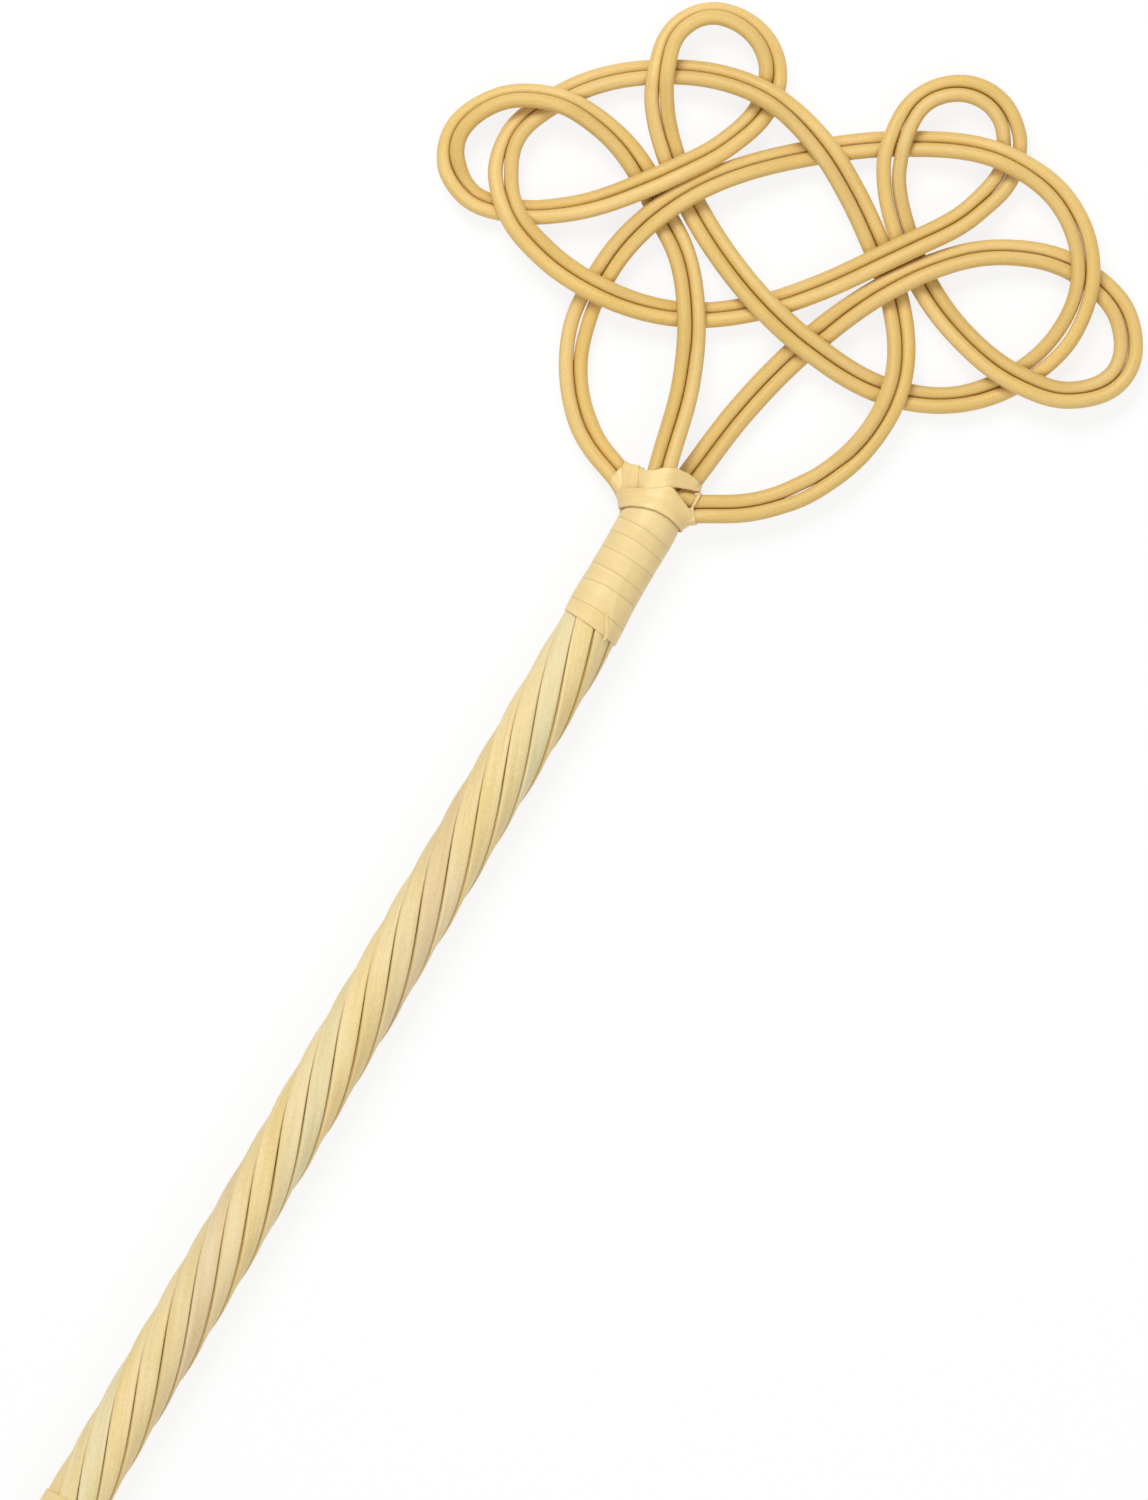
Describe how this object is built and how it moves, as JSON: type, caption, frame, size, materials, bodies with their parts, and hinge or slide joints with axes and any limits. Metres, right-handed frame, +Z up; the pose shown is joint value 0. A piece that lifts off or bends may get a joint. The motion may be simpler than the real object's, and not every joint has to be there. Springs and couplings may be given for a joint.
{
  "type": "carpet beater",
  "caption": "Rattan carpet beater with a flat interlaced head of doubled canes, a twisted cane handle and strip bindings at the neck, lying on its back.",
  "frame": {"origin": "on the surface that the beater lies on, under the middle of its outline", "axes": "+X to the right across the head, +Y along the handle from the butt towards the head, +Z up, square to the flat head"},
  "size_m": [0.2498, 0.6002, 0.0227],
  "materials": {
    "cane": "satin",
    "core_stick": "matte",
    "peel_strip": "satin"
  },
  "bodies": {
    "root": {"cane_a_left": "cane", "cane_a_right": "cane", "cane_b_left": "cane", "cane_b_right": "cane", "handle_core": "core_stick", "neck_binding": "peel_strip", "butt_binding": "peel_strip", "collar_lower_band": "peel_strip", "collar_upper_band": "peel_strip", "collar_leg_tie": "peel_strip"}
  },
  "joints": []
}
